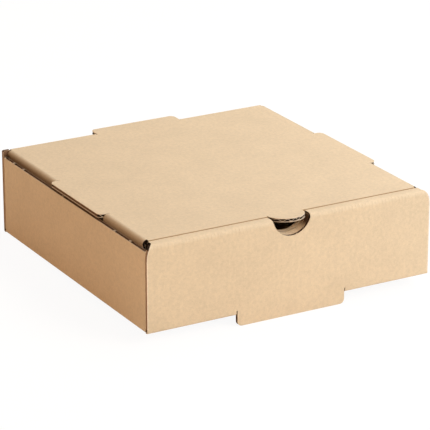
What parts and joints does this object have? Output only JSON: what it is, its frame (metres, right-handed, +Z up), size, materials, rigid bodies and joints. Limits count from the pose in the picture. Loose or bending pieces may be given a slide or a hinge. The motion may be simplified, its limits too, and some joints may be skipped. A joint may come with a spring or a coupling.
{
  "type": "bakery box",
  "caption": "Square corrugated board bakery box with a roll-over front, tuck-in hinged lid, locating tabs and a half-moon thumb notch.",
  "frame": {"origin": "centre of the base's underside, midway between the front and back faces and between the side walls", "axes": "+X runs along the front to the right as the front is faced, the front faces -Y, +Z is up out of the base"},
  "size_m": [0.26, 0.2754, 0.0841],
  "materials": {
    "tray_board": "matte kraft liner, flutes open at the cut edges",
    "lid_board": "matte kraft liner, flutes open at the cut edges"
  },
  "bodies": {
    "tray": {"tray": "tray_board"},
    "lid": {"lid": "lid_board"}
  },
  "joints": [
    {"name": "lid_hinge", "type": "hinge", "parent": "tray", "child": "lid", "pos_m": [0, 0.1285, 0.0715], "axis": [-1, 0, 0], "range_deg": [0, 180]}
  ]
}
